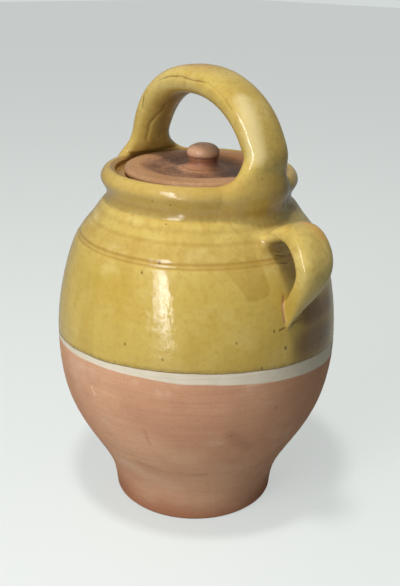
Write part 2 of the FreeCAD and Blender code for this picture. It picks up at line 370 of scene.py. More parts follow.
def plain_mesh(name, source, tree, settings):
    """The evaluated result of a tree on a source mesh, as a new object at the origin."""
    seed_object = bpy.data.objects.new(name + " source", source)
    bpy.context.scene.collection.objects.link(seed_object)
    modifier = seed_object.modifiers.new("make", "NODES")
    modifier.node_group = tree
    for item in tree.interface.items_tree:
        if item.item_type == "SOCKET" and item.in_out == "INPUT" and item.name in settings:
            modifier[item.identifier] = settings[item.name]
    graph = bpy.context.evaluated_depsgraph_get()
    mesh = bpy.data.meshes.new_from_object(seed_object.evaluated_get(graph))
    bpy.data.objects.remove(seed_object)
    return finished(name, mesh)


def volume_of(mesh):
    """The volume inside a closed mesh, negative where its faces point inwards."""
    mesh.calc_loop_triangles()
    corners = np.empty(3 * len(mesh.loop_triangles), int)
    mesh.loop_triangles.foreach_get("vertices", corners)
    points = np.empty(3 * len(mesh.vertices))
    mesh.vertices.foreach_get("co", points)
    a, b, c = (points.reshape(-1, 3)[corners.reshape(-1, 3)[:, k]] for k in range(3))
    return float(np.einsum("ij,ij->i", a, np.cross(b, c)).sum() / 6)


def finished(name, mesh):
    if volume_of(mesh) < 0:
        mesh.flip_normals()
    mesh.shade_smooth()
    piece = bpy.data.objects.new(name, mesh)
    bpy.context.scene.collection.objects.link(piece)
    print("%s: %d faces, %.1f cm3" % (name, len(mesh.polygons), volume_of(mesh) * 1e6))
    return piece


def outline_mesh(name, rows, marked):
    """The outline as a line of points in metres, with its outward direction and where marks show."""
    along = np.gradient(rows, axis=0)
    along /= np.maximum(np.linalg.norm(along, axis=1), 1e-9)[:, None]
    facing = np.stack([along[:, 1], np.zeros(len(rows)), -along[:, 0]], axis=1)
    facing[[0, -1], 0] = 0
    mesh = bpy.data.meshes.new(name)
    places = np.stack([rows[:, 0], np.zeros(len(rows)), rows[:, 1]], axis=1) * mm
    mesh.from_pydata(places.tolist(), [(i, i + 1) for i in range(len(rows) - 1)], [])
    mesh.attributes.new("facing", "FLOAT_VECTOR", "POINT").data.foreach_set("vector", facing.ravel())
    mesh.attributes.new("marked", "FLOAT", "POINT").data.foreach_set("value", marked)
    return mesh


print("empty finishes:", pot_finish.name, "and", lid_finish.name)

# %% [markdown]
# ## The body
# The outline becomes the body. Marks show only on the outside, which the tree learns from an
# attribute on the outline's points. The inside and the underside stay plain.

# %% Turn the body
def outside_share(rows):
    """1 on the outside, fading out at the foot and mostly at the rim, 0 inside and underneath."""
    radius, height = rows.T
    going_up = np.arange(len(rows)) < len(rows) / 2 + 60
    share = ((radius > outer_at(height) - 1.0) & (height > 1.0) & going_up).astype(float)
    share *= np.clip((height - 1.5) / 6, 0, 1) * np.clip((rim_height - 3 - height) / 6, 0.25, 1)
    return share


pot_settings = {"Columns": 250, "Finger depth": 0.11 * mm, "Wobble": 0.40 * mm, "Seed": 3.0,
                "Material": pot_finish}
for name, (place, reach) in attachments.items():
    pot_settings[name] = place
    pot_settings[name + " reach"] = reach
pot_outline = outline_mesh("pot outline", pot_rows, outside_share(pot_rows))
pot_body = plain_mesh("pot_body", pot_outline, turned_ware, pot_settings)

# %% [markdown]
# ## The lid
# The lid was thrown too: a dished disc with a button to lift it by. The same tree makes it, on an axis
# a little to one side, because a loose lid never sits dead centre.

# %% Turn the lid
lid_settings = {"Columns": 176, "Finger pitch": 3.1 * mm, "Finger depth": 0.22 * mm, "Wobble": 0.3 * mm,
                "Seed": 8.0, "Axis": Vector((*lid_axis, 0)) * mm, "Material": lid_finish}
lid_top = np.where(np.arange(len(lid_rows)) > 0.45 * len(lid_rows), 1.0, 0.0)
lid_outline = outline_mesh("lid outline", lid_rows, lid_top * np.clip(lid_rows[:, 0] / 6, 0, 1))
lid = plain_mesh("lid_turned", lid_outline, turned_ware, lid_settings)

# %% [markdown]
# ## Handles that melt into the wall
# A handle is a strap of clay pulled between wet fingers, bent, pressed on and smeared out, so no line
# shows where it meets the pot. A plain sweep along a curve leaves a hard line there, and a voxel
# remesh softens the whole strap. Here both shapes are written as distances instead: how far a point is
# from the strap and from the turned wall. A soft minimum of the two gives one surface with a fillet.

# %% A smooth line through a few places
route_step = 0.5   # mm from point to point


def through(places, step=route_step):
    """Natural cubic spline through rows whose first three numbers are x, y, z, resampled at even steps."""
    places = np.array(places, float)
    at = lengths(places[:, :3])
    gap, count = np.diff(at), len(places)
    system, right = np.eye(count), np.zeros_like(places)
    for i in range(1, count - 1):
        system[i, i - 1:i + 2] = gap[i - 1], 2 * (gap[i - 1] + gap[i]), gap[i]
        right[i] = 6 * ((places[i + 1] - places[i]) / gap[i] - (places[i] - places[i - 1]) / gap[i - 1])
    bend = np.linalg.solve(system, right)
    fine = np.linspace(0, at[-1], 30 * count)
    k = np.clip(np.searchsorted(at, fine, "right") - 1, 0, count - 2)
    a, b, w = (v[:, None] for v in (at[k + 1] - fine, fine - at[k], gap[k]))
    line = (bend[k] * a ** 3 + bend[k + 1] * b ** 3) / (6 * w)
    line += (places[k] / w - bend[k] * w / 6) * a + (places[k + 1] / w - bend[k + 1] * w / 6) * b
    passed = lengths(line[:, :3])
    wanted = np.linspace(0, passed[-1], int(passed[-1] / step))
    return np.stack([np.interp(wanted, passed, line[:, j]) for j in range(line.shape[1])], axis=1)


print("a route of 10 mm gets", len(through([(0, 0, 0), (5, 0, 0), (10, 0, 0)])), "points")

# %% [markdown]
# ## Where the straps run
# The bail springs from both sides of the rim, each leg spreading to a foot that wraps the neck and a toe
# that sinks into it. The grip leaves the shoulder, rises, turns over and comes back to a pinched tip.
# Each place holds its centre, its width along the rim, its thickness, and how far it wraps the pot.

# %% Routes of the bail and the grip
def eased(share):
    share = min(max(share, 0.0), 1.0)
    return share * share * (3 - 2 * share)


def mixed(a, b, share):
    return [p + (q - p) * share for p, q in zip(a, b)]


# width, thickness and wrap of the bail at its crown and on each leg
bail_sizes = {"crown": (29.3, 16.0, 0), "near": (28.2, 15.7, 0), "far": (25.5, 12.9, 0)}
# side, half span, fullness of the arch, size of the foot, and how far the foot stands askew
feet = {"near": (1, 52.5, 0.98, (38.0, 12.0, 1), -5.0), "far": (-1, 44.2, 0.9, (42.0, 12.0, 1), 5.0)}
grip_sizes = {"root": (20.0, 6.0, 1), "middle": (24.0, 12.5, 0), "tip": (3.0, 9.0, 1)}
crown_rise = cad_high.z / mm - rim_height - bail_sizes["crown"][1] / 2


def bail_route(steps=20, foot_height=13.0, reach=53.0, toe=44.5, drop=17.5):
    rise, places = crown_rise + 1, []
    start = math.asin((foot_height + 1) / rise)
    for i in range(steps + 1):
        a = start + (math.pi - 2 * start) * i / steps
        name = "far" if math.cos(a) > 0 else "near"
        side, span, power = feet[name][:3]
        x = side * span * abs(math.cos(a)) ** power
        size = mixed(bail_sizes["crown"], bail_sizes[name], math.cos(a) ** 2)
        places.append([x, 0, rim_height - 1 + rise * math.sin(a) ** 0.95, *size])
    for name, end in (("far", 0), ("near", None)):
        side, span, power, foot, skew = feet[name]
        ankle = abs(places[0 if end == 0 else -1][0])
        spread = [(ankle + 0.35 * (reach - ankle), 0.5 * foot_height, 0.4), (reach, -0.2 * drop, 1.0),
                  (0.75 * reach + 0.25 * toe, -0.6 * drop, 0.9), (toe, -drop, 0.7)]
        for x, rise_here, share in spread:
            place = [side * x, skew * share, rim_height + rise_here, *mixed(bail_sizes[name], foot, share)]
            places.insert(len(places) if end is None else 0, place)
    return through(places)


def grip_route(steps=14):
    top, tip, reach = outer_at(173.0), outer_at(131.0), cad_high.x / mm - 6.1
    guide = through([(top - 5, -1.5, 171), (top + 0.5 * (reach - top), -1.5, 181.5), (reach, -4.3, 166),
                     (tip + 0.45 * (reach - tip), -6.4, 149.2), (tip - 5.2, -8.5, 131)])
    places = []
    for i in range(steps + 1):
        share = i / steps
        size = mixed(grip_sizes["middle"], grip_sizes["root"], 1 - eased(share / 0.4))
        size = mixed(size, grip_sizes["tip"], eased((share - 0.45) / 0.55))
        places.append([*guide[round(share * (len(guide) - 1))], *size])
    return through(places)


bail_line, grip_line = bail_route(), grip_route()
for name, line in (("bail", bail_line), ("grip", grip_line)):
    ends = line[0, :3].round(1), line[-1, :3].round(1)
    print("%s: %.0f mm long, from %s to %s" % (name, route_step * len(line), *ends))

# %% [markdown]
# ## Distances
# The wall's distance depends only on radius and height, so it is worked out once on a fine flat grid and
# looked up. The strap's distance comes from the nearest place on its route: there the point is measured
# across the strap and through it, against a rounded oblong.

# %% Distance to the turned wall
def looked_up(grid, low, step, a, b):
    i, j = (np.clip((v - o) / step, 0, n - 1.001) for v, o, n in zip((a, b), low, grid.shape))
    p, q = i.astype(int), j.astype(int)
    f, g = i - p, j - q
    return ((1 - f) * (1 - g) * grid[p, q] + f * (1 - g) * grid[p + 1, q]
            + (1 - f) * g * grid[p, q + 1] + f * g * grid[p + 1, q + 1])


def wall_table(low=(36.0, 112.0), high=(100.0, 226.0), step=0.3):
    """Distance to the wall for radii and heights from low to high, negative inside the clay."""
    line = pot_rows[(pot_rows[:, 1] > 100) & (pot_rows[:, 0] > 30)]
    r, z = np.meshgrid(np.arange(low[0], high[0], step), np.arange(low[1], high[1], step), indexing="ij")
    near, inside = np.full(r.shape, 1e9), np.zeros(r.shape, bool)
    loop = np.vstack([line, line[:1]])
    for a, b in zip(loop[:-1], loop[1:]):
        edge = b - a
        share = np.clip(((r - a[0]) * edge[0] + (z - a[1]) * edge[1]) / (edge @ edge + 1e-12), 0, 1)
        if np.hypot(*edge) < 20:
            near = np.minimum(near, np.hypot(r - a[0] - share * edge[0], z - a[1] - share * edge[1]))
        crosses = (a[1] > z) != (b[1] > z)
        inside ^= crosses & (r < a[0] + (z - a[1]) * edge[0] / (edge[1] + (abs(edge[1]) < 1e-9)))
    return np.where(inside, -near, near), low, step


wall_grid, wall_low, wall_step = wall_table()


def wall_distance(points):
    return looked_up(wall_grid, wall_low, wall_step, np.hypot(points[:, 0], points[:, 1]), points[:, 2])


lip_places = np.array([[55.5, 0, 196.9], [60, 0, 196.9], [51, 0, 200]])
print("wall distance at the lip", wall_distance(lip_places).round(2))


# %% Distance to a strap
def strap_distance(line, roundness):
    """A function that gives the distance from points to a strap, negative inside it."""
    passed, margin = route_step * np.arange(len(line)), 26
    along = np.gradient(line[:, [0, 2]], axis=0)
    along /= np.linalg.norm(along, axis=1)[:, None]
    low = line[:, [0, 2]].min(axis=0) - margin
    across = np.ceil(np.ptp(line[:, [0, 2]], axis=0) + 2 * margin).astype(int)
    x, z = np.meshgrid(*(low[k] + np.arange(across[k]) for k in range(2)), indexing="ij")
    gaps = np.hypot(x.ravel()[:, None] - line[::3, 0], z.ravel()[:, None] - line[::3, 2])
    nearest = passed[::3][gaps.argmin(axis=1)].reshape(x.shape)

    def at(where, column):
        return np.interp(where, passed, column)

    def distance(points):
        x, y, z = points.T
        cell = (np.clip((v - o).round().astype(int), 0, n - 1) for v, o, n in zip((x, z), low, across))
        where = nearest[tuple(cell)]
        for _ in range(3):
            bend = at(where, line[:, 5]) * y * y / (2 * at(where, line[:, 0]))
            dx, dz = x + bend - at(where, line[:, 0]), z - at(where, line[:, 2])
            ahead = dx * at(where, along[:, 0]) + dz * at(where, along[:, 1])
            where = np.clip(where + np.clip(ahead, -2, 2), 0, passed[-1])
        bend = at(where, line[:, 5]) * y * y / (2 * at(where, line[:, 0]))
        dx, dz = x + bend - at(where, line[:, 0]), z - at(where, line[:, 2])
        tx, tz = at(where, along[:, 0]), at(where, along[:, 1])
        beyond = np.abs(dx * tx + dz * tz) * ((where <= 0) | (where >= passed[-1]))
        half_width, half_depth = 0.5 * at(where, line[:, 3]), 0.5 * at(where, line[:, 4])
        u, v = np.abs(y - at(where, line[:, 1])) / half_width, np.abs(dx * tz - dz * tx) / half_depth
        size = np.maximum((u ** roundness + v ** roundness) ** (1 / roundness), 0.25)
        steep = np.hypot(u ** (roundness - 1) / half_width, v ** (roundness - 1) / half_depth)
        beside = (size - 1) / np.maximum(size ** (1 - roundness) * steep, 0.02)
        return np.where(beyond > 0, np.hypot(np.maximum(beside, 0), beyond), beside), where

    return distance


bail_distance = strap_distance(bail_line, 2.45)
grip_distance = strap_distance(grip_line, 2.7)
print("bail distance over its crown", bail_distance(np.array([[0.0, 0, cad_high.z / mm]]))[0].round(2))

# %% [markdown]
# ## One skin over strap and wall
# A soft minimum melts the two distances together. The skin is cut a few millimetres out from the strap,
# where it dips just under the body's surface, and a few millimetres deep inside the wall, so it is a
# closed piece whose edge nobody can see. The mouth is kept clear for the lid. The bail also opened a
# little as it dried: a long fine crack runs over its crown, and a fold down the inside of its far leg.

# %% Melt the distances
def ramp(value, low, high):
    """0 below low, 1 above high, and eased between them."""
    share = np.clip((value - low) / (high - low), 0, 1)
    return share * share * (3 - 2 * share)


def soft_low(a, b, width):
    """The lower of two distances, rounded off where they are within width of each other."""
    share = np.clip(0.5 + 0.5 * (b - a) / width, 0, 1)
    return b + (a - b) * share - width * share * (1 - share)


def lumps(points, depth):
    """Slow hand-made unevenness, never negative, so that it only takes clay away."""
    x, y, z = points.T
    waves = (np.sin(x / 7.1 + 1.3) * np.sin(z / 8.3 + 0.4) + np.sin(y / 5.3 + x / 13.0 + 2.2)
             + 0.7 * np.sin((x + 2 * z) / 9.7) * np.sin(y / 8.1 + 0.9))
    return depth * (waves + 2.7) / 5.4


def line_distance(points, line):
    """Distance to a line of straight runs, worked out only near it."""
    line, far, margin = np.array(line, float), 99.0, 6
    away = np.full(len(points), far)
    close = (points > line.min(axis=0) - margin) & (points < line.max(axis=0) + margin)
    close = np.all(close, axis=1)
    here = points[close]
    near = np.full(len(here), far)
    for a, b in zip(line[:-1], line[1:]):
        share = np.clip((here - a) @ (b - a) / ((b - a) @ (b - a)), 0, 1)
        near = np.minimum(near, np.linalg.norm(here - a - share[:, None] * (b - a), axis=1))
    away[close] = near
    return away


crack_line = [(-34.6, -13.3, 231.1), (-33.0, -13.5, 239.1), (-26.0, -14.0, 246.0), (-17.9, -14.2, 249.6),
              (-9.4, -14.3, 252.0), (-0.4, -14.4, 252.9), (8.5, -14.5, 251.7), (18.9, -13.4, 251.7),
              (25.8, -13.5, 248.9), (32.1, -13.7, 245.1), (37.6, -13.9, 240.3)]
fold_line = [(-25.6, -3.1, 233.5), (-29.1, -2.3, 229.6), (-31.3, -4.9, 226.8), (-34.6, -7.4, 222.0),
             (-36.0, -7.1, 217.7), (-37.8, -7.0, 212.8)]
bail_creases = [(0.35, 0.9, crack_line), (0.7, 1.1, fold_line)]   # depth, half width, line
mouth_radius, mouth_clearance, mouth_softness = 47.6, 0.2, 1.5
skin_dip, skin_depth = 0.5, 2.6


def melted(strap, reach, softness, unevenness, creases=()):
    """One distance for a strap and the skirt of wall that it is smeared into.

    softness(height) is how softly the two join; each crease has a depth, a half width and a line.
    """
    def distance(points):
        to_strap, _ = strap(points)
        to_strap = to_strap + lumps(points, unevenness)
        for depth, half_width, line in creases:
            to_strap = to_strap + depth * np.exp(-(line_distance(points, line) / half_width) ** 2)
        to_wall = wall_distance(points)
        dipped = to_wall + skin_dip * ramp(to_strap, 0.62 * reach, reach)
        both = soft_low(to_strap, dipped, softness(points[:, 2]))
        past_mouth = np.hypot(points[:, 0], points[:, 1]) - mouth_radius + mouth_clearance
        to_mouth = np.maximum(past_mouth, points[:, 2] - rim_height - mouth_softness)
        both = -soft_low(-both, to_mouth, mouth_softness)
        return np.maximum(np.maximum(both, to_strap - reach), -(to_wall + skin_depth))

    return distance


print("creases on the bail:", len(bail_creases), "with", len(crack_line) + len(fold_line), "places")

# %% [markdown]
# ## A mesh from a distance
# The space round the strap is cut into small cubes. Every cube that the surface passes through gets one
# point, neighbours join into four-sided faces, and each point then slides along the distance's slope
# until it lies on the surface. A little evening out between slides keeps the faces square.

# %% Cubes, faces and slides
def slope(distance, points, reach=0.04):
    """The direction in which a distance grows, measured a little way to each side."""
    parts = []
    for k in range(3):
        step = np.zeros(3)
        step[k] = reach
        parts.append((distance(points + step) - distance(points - step)) / (2 * reach))
    return np.stack(parts, axis=1)


def slid(distance, points, times, furthest=0.6):
    """Points moved down the slope on to the surface, where the distance is 0."""
    for _ in range(times):
        away, steep = distance(points), slope(distance, points)
        length = np.maximum((steep ** 2).sum(axis=1), 0.05)
        points = points - steep * np.clip(away / length, -furthest, furthest)[:, None]
    return points


def cube_faces(distance, low, high, step):
    """A point for each cube that the surface crosses, and a face round each edge that it cuts."""
    counts = [int(math.ceil((b - a) / step)) + 1 for a, b in zip(low, high)]
    axes = [low[k] + step * np.arange(counts[k]) for k in range(3)]
    values = np.empty(counts)
    y, z = np.meshgrid(axes[1], axes[2], indexing="ij")
    for i, x in enumerate(axes[0]):
        values[i] = distance(np.stack([np.full(y.size, x), y.ravel(), z.ravel()], axis=1)).reshape(y.shape)
    solid = values < 0
    cells = np.stack([solid[i:counts[0] - 1 + i, j:counts[1] - 1 + j, k:counts[2] - 1 + k]
                      for i in (0, 1) for j in (0, 1) for k in (0, 1)])
    active = cells.any(axis=0) & ~cells.all(axis=0)
    number = np.full(active.shape, -1)
    number[active] = np.arange(active.sum())
    points = np.stack(np.nonzero(active), axis=1)
    points = np.array(low) + step * (points + 0.5)
    faces = []
    for axis in range(3):
        before = [slice(None)] * 3
        after = [slice(None)] * 3
        before[axis], after[axis] = slice(0, -1), slice(1, None)
        changes = solid[tuple(before)] != solid[tuple(after)]
        places = np.stack(np.nonzero(changes), axis=1)
        u, v = [k for k in range(3) if k != axis]
        places = places[(places[:, u] > 0) & (places[:, v] > 0)]
        places = places[(places[:, u] < active.shape[u]) & (places[:, v] < active.shape[v])]
        ring = []
        for back_u, back_v in ((1, 1), (0, 1), (0, 0), (1, 0)):
            cell = places.copy()
            cell[:, u] -= back_u
            cell[:, v] -= back_v
            ring.append(number[tuple(cell.T)])
        ring = np.stack(ring, axis=1)
        outward = solid[tuple(places.T)] != (axis == 1)
        faces.append(np.where(outward[:, None], ring, ring[:, ::-1]))
    return points, np.vstack(faces)


def evened(points, faces, share=0.5):
    """Points moved part of the way to the middle of their neighbours."""
    summed, count = np.zeros_like(points), np.zeros(len(points))
    for a, b in ((0, 1), (1, 2), (2, 3), (3, 0)):
        for p, q in ((faces[:, a], faces[:, b]), (faces[:, b], faces[:, a])):
            for k in range(3):
                summed[:, k] += np.bincount(p, points[q, k], len(points))
            count += np.bincount(p, minlength=len(points))
    return points + share * (summed / np.maximum(count, 1)[:, None] - points)


def skin(name, distance, line, step, finish, margin=24):
    """A closed mesh on a distance's surface, round a route, in its own finish."""
    low, high = line[:, :3].min(axis=0) - margin, line[:, :3].max(axis=0) + margin
    points, faces = cube_faces(distance, low, high, step)
    for _ in range(4):
        points = slid(distance, evened(points, faces), 1)
    points = slid(distance, points, 2)
    mesh = bpy.data.meshes.new(name)
    mesh.from_pydata((points * mm).tolist(), [], faces.tolist())
    mesh.validate()
    mesh.materials.append(finish)
    return finished(name, mesh)


# %% [markdown]
# ## The bail and the side grip
# The bail was smeared on with the whole thumb, so it joins softly everywhere. The grip was smeared only
# at its root: its tip was pinched against the wall, which leaves a sharp crease round it.

# %% Make both skins
def bail_softness(height):
    return np.full_like(height, 7.0)


def grip_softness(height):
    at_tip, at_root = 1.6, 5.0
    return at_tip + (at_root - at_tip) * ramp(height, 145, 165)


bail_skin = melted(bail_distance, reach=10.0, softness=bail_softness, unevenness=0.5, creases=bail_creases)
bail = skin("bail", bail_skin, bail_line, 0.8, pot_finish)
grip_skin = melted(grip_distance, reach=9.0, softness=grip_softness, unevenness=0.35)
grip = skin("side_grip", grip_skin, grip_line, 0.7, pot_finish)

# %% [markdown]
# ## Camera
# The camera stands a little above the lid and looks down at the pot, as someone at a table does. It is
# placed by its own right, back and up directions, so that its tilt is plain to read.

# %% Camera
camera_data = bpy.data.cameras.new("camera")
camera = bpy.data.objects.new("camera", camera_data)
bpy.context.scene.collection.objects.link(camera)
camera_place = Vector((0.35364, -0.32942, 0.30885))
camera_right = Vector((0.6763, 0.7364, 0.0186)).normalized()
camera_back = Vector((0.6843, -0.6375, 0.3539)).normalized()
camera_axes = Matrix((camera_right, camera_back.cross(camera_right), camera_back)).transposed()
camera.matrix_world = Matrix.Translation(camera_place) @ camera_axes.to_4x4()
camera_data.lens = 53.41
camera_data.shift_x = 0.0052
camera_data.clip_start = 0.01
bpy.context.scene.camera = camera
print("camera %.3f m from the middle of the foot, lens %.1f mm" % (camera_place.length, camera_data.lens))

# %% [markdown]
# ## Small helpers for finishes
# A finish here is a stack of colours, each laid over the last through a mask: a noise, a height, a stroke
# or scattered dots. Every mask reads the object's own coordinates, so a mark stays where the hand or the
# fire left it, from whatever side the pot is seen.

# %% Colours and masks
def linear(red, green, blue):
    """A colour from the usual 0 to 255 scale."""
    def curve(v):
        v /= 255
        return v / 12.92 if v <= 0.04045 else ((v + 0.055) / 1.055) ** 2.4
    return (curve(red), curve(green), curve(blue), 1.0)


def palette(**shades):
    return {name: linear(*shade) for name, shade in shades.items()}


def emptied(material):
    material.use_nodes = True
    material.node_tree.nodes.clear()
    return material.node_tree


def blend(tree, share, a, b):
    """Colour a where share is 0, colour b where it is 1."""
    made = put(tree, "ShaderNodeMix", data_type="RGBA")
    for slot, value in ((0, share), (6, a), (7, b)):
        if isinstance(value, bpy.types.NodeSocket):
            tree.links.new(value, made.inputs[slot])
        else:
            made.inputs[slot].default_value = value
    return made.outputs[2]


def ramped(tree, value, low, high, start=0.0, end=1.0):
    return put(tree, "ShaderNodeMapRange", {0: value, 1: low, 2: high, 3: start, 4: end},
               interpolation_type="SMOOTHSTEP").outputs[0]


def noise(tree, where, scale, detail=2.0, stretch=None, roughness=0.5):
    if stretch:
        where = put(tree, "ShaderNodeMapping", {0: where, 3: stretch}).outputs[0]
    return put(tree, "ShaderNodeTexNoise", {"Vector": where, "Scale": scale, "Detail": detail,
                                            "Roughness": roughness}).outputs[0]


def from_axis(tree, where):
    return vector_calc(tree, "LENGTH", vector_calc(tree, "MULTIPLY", where, (1, 1, 0)))


def dots(tree, where, scale, radius, share, shift):
    """1 inside scattered round dots, of which only some cells have one."""
    where = vector_calc(tree, "ADD", where, shift)
    cells = put(tree, "ShaderNodeTexVoronoi", {"Vector": where, "Scale": scale})
    chosen = put(tree, "ShaderNodeSeparateColor", {0: cells.outputs["Color"]}).outputs
    size = product(tree, calc(tree, "ADD", chosen[1], 0.35), radius * scale)
    dot = calc(tree, "SUBTRACT", 1.0, calc(tree, "DIVIDE", cells.outputs["Distance"], size))
    return product(tree, ramped(tree, dot, 0.0, 0.6), calc(tree, "LESS_THAN", chosen[0], share))


def near_stroke(tree, where, start, end, reach):
    """1 along a straight stroke between two places in mm, fading to 0 at reach mm."""
    start, run = Vector(start) * mm, (Vector(end) - Vector(start)) * mm
    gap = vector_calc(tree, "SUBTRACT", where, tuple(start))
    share = calc(tree, "DIVIDE", vector_calc(tree, "DOT_PRODUCT", gap, tuple(run)), run.length_squared)
    share = put(tree, "ShaderNodeClamp", {0: share}).outputs[0]
    gap = vector_calc(tree, "SUBTRACT", gap, vector_calc(tree, "SCALE", tuple(run), share))
    return ramped(tree, vector_calc(tree, "LENGTH", gap), 0.15 * reach * mm, reach * mm, 1.0, 0.0)


def near_any(tree, where, strokes):
    """The strongest of several strokes, each a start, an end and a reach."""
    made = [near_stroke(tree, where, *stroke) for stroke in strokes]
    return functools.reduce(lambda a, b: calc(tree, "MAXIMUM", a, b), made)


def near_height(tree, height, middle, reach):
    gap = calc(tree, "ABSOLUTE", calc(tree, "SUBTRACT", height, middle * mm))
    return ramped(tree, gap, 0.0, reach * mm, 1.0, 0.0)


print("middle grey in linear light:", round(linear(128, 128, 128)[0], 3))

# %% [markdown]
# ## Clay, slip and glaze
# The pot was dipped twice, mouth down: first in white slip, then in yellow lead glaze, each time a
# little aslant. So each edge is a tilted plane across the belly, and the white band between the two
# is where the slip reached lower than the glaze. One material holds all three, masked by those
# planes, because the dips don't care where one piece of the model ends and the next begins.

# %% The dips
# height of each dip line on the axis in mm, and how much it rises along x and along y
dips = {"glaze": (104.95, 0.0599, -0.0673), "slip": (99.55, 0.0290, -0.0898)}
waver_depth = 1.6 * mm


def dip_level(tree, place, waver, height, lean_x, lean_y):
    """How far a point lies above a tilted dip line, in metres."""
    axes = put(tree, "ShaderNodeSeparateXYZ", {0: place}).outputs
    tilt = calc(tree, "ADD", product(tree, axes["X"], lean_x), product(tree, axes["Y"], lean_y))
    level = calc(tree, "SUBTRACT", calc(tree, "SUBTRACT", axes["Z"], height * mm), tilt)
    return calc(tree, "ADD", level, product(tree, calc(tree, "SUBTRACT", waver, 0.5), waver_depth))


print("the glaze stops %.0f mm up, the slip %.0f mm up" % (dips["glaze"][0], dips["slip"][0]))

# %% [markdown]
# ## The glaze's colour
# Lead glaze is thin honey-yellow glass over white slip, so its colour is its thickness: pale where it ran
# thin, brown where it pooled in the grooves, between the throwing ridges and along its lower edge. Broad
# noise gives the mottling, upright noise the runs, and fine noise the grain of the slip below.

# %% Glaze
glaze_tones = palette(
    honey=(185, 159, 80), straw=(198, 174, 99), run=(168, 138, 62), cloud=(210, 190, 128),
    grain=(156, 126, 58), thick=(178, 148, 56), rim=(168, 134, 64), pool=(146, 106, 40),
    edge=(128, 104, 52), iron=(104, 70, 30), tongue=(160, 124, 44), gallery=(150, 108, 62))
# height and half width in mm, and strength, of each ring where the glaze pooled
glaze_pools = ((180.6, 1.8, 0.20), (175.2, 1.6, 0.28), (171.0, 6.0, 0.24), (166.6, 1.4, 0.6),
               (164.6, 1.1, 0.5), (188.6, 4.0, 0.3))


def glaze_colour(tree, place, axes, level):
    """Yellow lead glaze: mottled, streaked as it ran, darker where it pools."""
    broad = noise(tree, place, 16, 3)
    colour = blend(tree, ramped(tree, broad, 0.35, 0.65), glaze_tones["honey"], glaze_tones["straw"])
    runs = noise(tree, place, 80, 4, (1, 1, 0.16), 0.6)
    colour = blend(tree, ramped(tree, runs, 0.42, 0.70, 0, 0.5), colour, glaze_tones["run"])
    cloud = noise(tree, place, 40, 3, (1, 1, 1.5), 0.6)
    colour = blend(tree, ramped(tree, cloud, 0.48, 0.72, 0, 0.45), colour, glaze_tones["cloud"])
    grain = noise(tree, place, 330, 4, roughness=0.7)
    colour = blend(tree, ramped(tree, grain, 0.46, 0.68, 0, 0.38), colour, glaze_tones["grain"])
    height = calc(tree, "ADD", axes["Z"], product(tree, calc(tree, "SUBTRACT", broad, 0.5), 1.2 * mm))
    low_down = ramped(tree, height, 150 * mm, 168 * mm, 0.5, 0.0)
    colour = blend(tree, low_down, colour, glaze_tones["thick"])
    neck_up = ramped(tree, height, 182 * mm, 190 * mm, 0, 0.45)
    below_bail = ramped(tree, height, 203 * mm, 213 * mm, 1, 0.25)
    colour = blend(tree, product(tree, neck_up, below_bail), colour, glaze_tones["rim"])
    on_wall = ramped(tree, from_axis(tree, place), 72.5 * mm, 74.5 * mm, 1.0, 0.0)
    for middle, reach, strength in glaze_pools:
        pool = product(tree, near_height(tree, height, middle, reach), on_wall, strength)
        colour = blend(tree, pool, colour, glaze_tones["pool"])
    lower_edge = ramped(tree, level, 0.0, 3.0 * mm, 0.75, 0.0)
    lower_edge = product(tree, lower_edge, ramped(tree, grain, 0.35, 0.6, 0.5, 1))
    return blend(tree, lower_edge, colour, glaze_tones["edge"])


def iron_specks(tree, place, level):
    """Grains of iron that melted out of the clay: a few large ones, and most near the glaze's edge."""
    small = dots(tree, place, 260, 0.00030, 0.30, (0.1, 0.0, 0.0))
    large = dots(tree, place, 75, 0.00060, 0.22, (0.0, 0.3, 0.0))
    low = dots(tree, place, 460, 0.00030, 0.55, (0.0, 0.0, 0.2))
    low = product(tree, low, ramped(tree, level, 1 * mm, 18 * mm, 0.9, 0.0))
    return calc(tree, "MAXIMUM", calc(tree, "MAXIMUM", product(tree, small, 0.4), large), low)


print("glaze:", len(glaze_tones), "tones and", len(glaze_pools), "pools")

# %% [markdown]
# ## Marks of the fire and of use, and painted shade
# An old pot is known by its marks: cracks in the straps, pinholes where gas burst through, a scratch and
# lime on the bare clay. Painted shade and a painted highlight are laid on the same way: dark brown on the
# belly's shaded side past the grip, under the straps and in the fold of the bail's far leg, and a paler
# streak down the bail's near leg. Each is a short stroke with soft edges. A mark on the wall is given by
# its angle round the pot and its height, so it stays on the wall if the outline changes. A mark on a
# handle is given by its place in mm.

# %% Marks
def at_wall(degrees, height):
    turn = math.radians(degrees)
    return outer_at(height) * math.cos(turn), outer_at(height) * math.sin(turn), height


def strokes_through(places, reach):
    return [(a, b, reach) for a, b in zip(places[:-1], places[1:])]


def pit(place, reach):
    x, y, z = place
    return place, (x + 0.1, y, z - 0.6), reach


tongue = [(at_wall(-27, 165), at_wall(-20, 153), 8.5), (at_wall(-19, 165), at_wall(-16.5, 153.5), 8.5)]
under_arch = [
    ((2.0, -3.0, 243.5), (-25.0, -1.0, 234.5), 11.0), ((-25.0, -1.0, 234.5), (-35.0, 2.0, 217.0), 9.0)]
